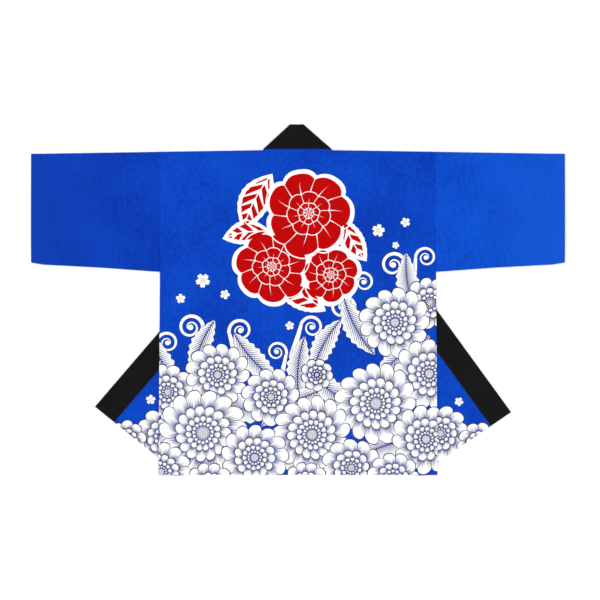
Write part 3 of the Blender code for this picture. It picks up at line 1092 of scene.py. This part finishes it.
def makeThread(name, hexColour):
    material, shader = newMaterial(name)
    add = partial(node, material.node_tree)
    place = add("TexCoord").outputs["Object"]
    twist = add("TexNoise", place, 1 / (threadLook["twist"] * mm), 1, 0.5)
    # Painted shade: the thread's colour darkened in its twist's hollows, spread by noise
    paintedTwistShade = [v * threadLook["hollow"] for v in linear(hexColour)[:3]] + [1.0]
    colour = add("Mix.RGBA", twist.outputs[0], paintedTwistShade, linear(hexColour))
    give(colour, shader.inputs["Base Color"])
    shader.inputs["Roughness"].default_value = threadLook["roughness"]
    return material


plainCotton = makeCloth("blueDyedPlainWeaveCotton", "blue")
reverseCotton = makeCloth("plainWeaveCottonReverse", "blueReverse")  # paler: dye sinks in less
blackCotton = makeCloth("blackTwillCollarCotton", "black")  # so dark that its weave hardly shows
blueThread = makeThread("bluePolyesterThread", "#2455CF")
blackThread = makeThread("blackPolyesterThread", "#26262B")
print("materials ready")

# The back's print is laid in zones, each with only the motifs that reach it
printZones = {"wide": 170.0, "tall": 132.0, "stem": 80.0}


def reachZone(table, zone):
    wide, tall = printZones["wide"], printZones["tall"]
    middle = Vector(((zone[0] + 0.5) * wide, (zone[1] + 0.5) * tall))

    def reaches(motif):
        kind, x, y, size = motif[:4]
        reach = size + lying["grid"] + (printZones["stem"] if kind == "fern" else 0)
        return abs(x - middle.x) < wide / 2 + reach and abs(y - middle.y) < tall / 2 + reach

    return [motif for motif in listed(table) if reaches(motif)]


def dressBack(piece):
    mesh = piece.data
    cutMap = mesh.uv_layers["cut"].data
    slots = {}
    for face in mesh.polygons:
        if face.material_index:
            continue
        spots = [cutMap[i].uv for i in face.loop_indices]
        middle = sum(spots, Vector((0, 0))) / len(spots) / mm
        zone = math.floor(middle.x / printZones["wide"]), math.floor(middle.y / printZones["tall"])
        if zone not in slots:
            printed, sprig = reachZone(backPrint, zone), reachZone(redSprig, zone)
            slots[zone] = 0
            if printed or sprig:
                slots[zone] = len(mesh.materials)
                name = f"printedPlainWeaveCotton{len(slots)}"
                mesh.materials.append(makeCloth(name, "blue", printed, sprig))
        face.material_index = slots[zone]


pieces = {"back": makeBack([plainCotton, reverseCotton])}
dressBack(pieces["back"])
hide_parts("back")
for side, turn in turns.items():
    name = side.capitalize()
    motifs = listed(frontPrint[name])
    frontCotton = makeCloth(f"printedPlainWeaveCottonFront{name}", "blue", motifs)
    front = makeFront(name, turn, [frontCotton, reverseCotton])
    bandPiece = makeBand(name, turn, [blackCotton])
    # Each sleeve's blue holds painted light and shade: the left one darker, the right one lighter
    armCotton = makeCloth(f"blueDyedPlainWeaveCottonSleeve{name}", f"blue{name}Arm")
    arm = makeSleeve(name, turn, [armCotton, reverseCotton])
    for part, piece in (("front", front), ("collar", bandPiece), ("sleeve", arm)):
        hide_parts(f"{part}_{side}")
        pieces[f"{part}{name}"] = piece
print("cloth pieces ready")

# Rows of stitches: hems, cuffs and the band's seam, on the faces that can be seen
fromHem = coat["hemWidth"] - sewing["onHem"]
hemRow, cuffRow = -coat["length"] + fromHem, cuffReach - fromHem
inHem, inBand = coat["sideAtHem"] - sewing["ends"], coat["neckHalf"] + sewing["onHem"]
seamRow = coat["neckHalf"] - sewing["onBand"]
backRows = [((-inHem, hemRow), (inHem, hemRow))]
hemRows = [((inBand, frontHemY(inBand) + fromHem), (inHem, hemRow))]
seamRows = [((seamRow, frontHemY(seamRow) + sewing["onHem"]), (seamRow, -sewing["ends"]))]
cuffRows = [((cuffRow, low), (cuffRow, high)) for low, high in sewing["cuffRows"]]
stitches = {"back": sewRows("hemStitchesBack", 1, placeOnBack, backRows, 1, blueThread)}
for side, turn in turns.items():
    name = side.capitalize()
    for part, label, place, rows, face, thread in (
        ("front", "hemStitchesFront", frontPlacer(turn), hemRows, -1, blueThread),
        ("collar", "seamStitchesBand", bandPlacer(turn)[1], seamRows, -1, blackThread),
        ("sleeve", "cuffStitches", placeOnSleeve, cuffRows, 1, blueThread),
    ):
        sewn = sewRows(f"{label}{name}", turn.side, place, rows, face, thread)
        stitches[f"{part}{name}"] = sewn
print("sewing ready")

# Each piece's part, its name without the side. The back and the fronts narrow to the shoulders,
# and the sleeves to the cuffs; the band goes on past the shoulder line to the middle of the neck.
for name, piece in pieces.items():
    part = name.removesuffix("Left").removesuffix("Right")

# A pale floor, and soft light from all round with a little more from the upper left
studio = {"floor": 6.0, "below": 0.0002, "paper": "#F7F7F7", "paperRoughness": 0.9, "sky": 0.8}
paper, paperShader = newMaterial("mattStudioPaper")  # uncoated, so it has no gloss
paperShader.inputs["Base Color"].default_value = linear(studio["paper"])
paperShader.inputs["Roughness"].default_value = studio["paperRoughness"]
floorSheet = bmesh.new()
bmesh.ops.create_grid(floorSheet, x_segments=1, y_segments=1, size=studio["floor"])
floor = newPiece("studioFloor", floorSheet, [paper])
floor.location.z = -studio["below"]

world = bpy.data.worlds.new("softStudio")
bpy.context.scene.world = world
world.use_nodes = True
sky = world.node_tree.nodes["Background"]
sky.inputs["Color"].default_value = linear("#FFFFFF")
sky.inputs["Strength"].default_value = studio["sky"]
lamps = [
    {"name": "keySoftbox", "at": (-1.6, 1.5, 2.4), "size": 2.2, "power": 34},
    {"name": "fillSoftbox", "at": (1.8, -1.2, 2.6), "size": 2.6, "power": 28},
]
for lamp in lamps:
    light = bpy.data.lights.new(lamp["name"], "AREA")
    light.size, light.energy = lamp["size"], lamp["power"]
    holder = bpy.data.objects.new(lamp["name"], light)
    holder.location = lamp["at"]
    holder.rotation_euler = (-Vector(lamp["at"])).to_track_quat("-Z", "Y").to_euler()
    bpy.context.scene.collection.objects.link(holder)

# The camera looks straight down, so far off that the coat's outline stays square
view = {"width": 1.464, "lens": 100.0, "sensor": 36.0, "aim": (0.0049, -0.0004), "far": 100}
camera = bpy.data.objects.new("camera", bpy.data.cameras.new("camera"))
camera.data.lens, camera.data.sensor_width = view["lens"], view["sensor"]
camera.location = (*view["aim"], view["width"] * view["lens"] / view["sensor"])
camera.data.clip_end = view["far"]
bpy.context.scene.collection.objects.link(camera)
bpy.context.scene.camera = camera
bpy.context.scene.view_settings.view_transform = "Standard"
print("floor, lights and camera ready")
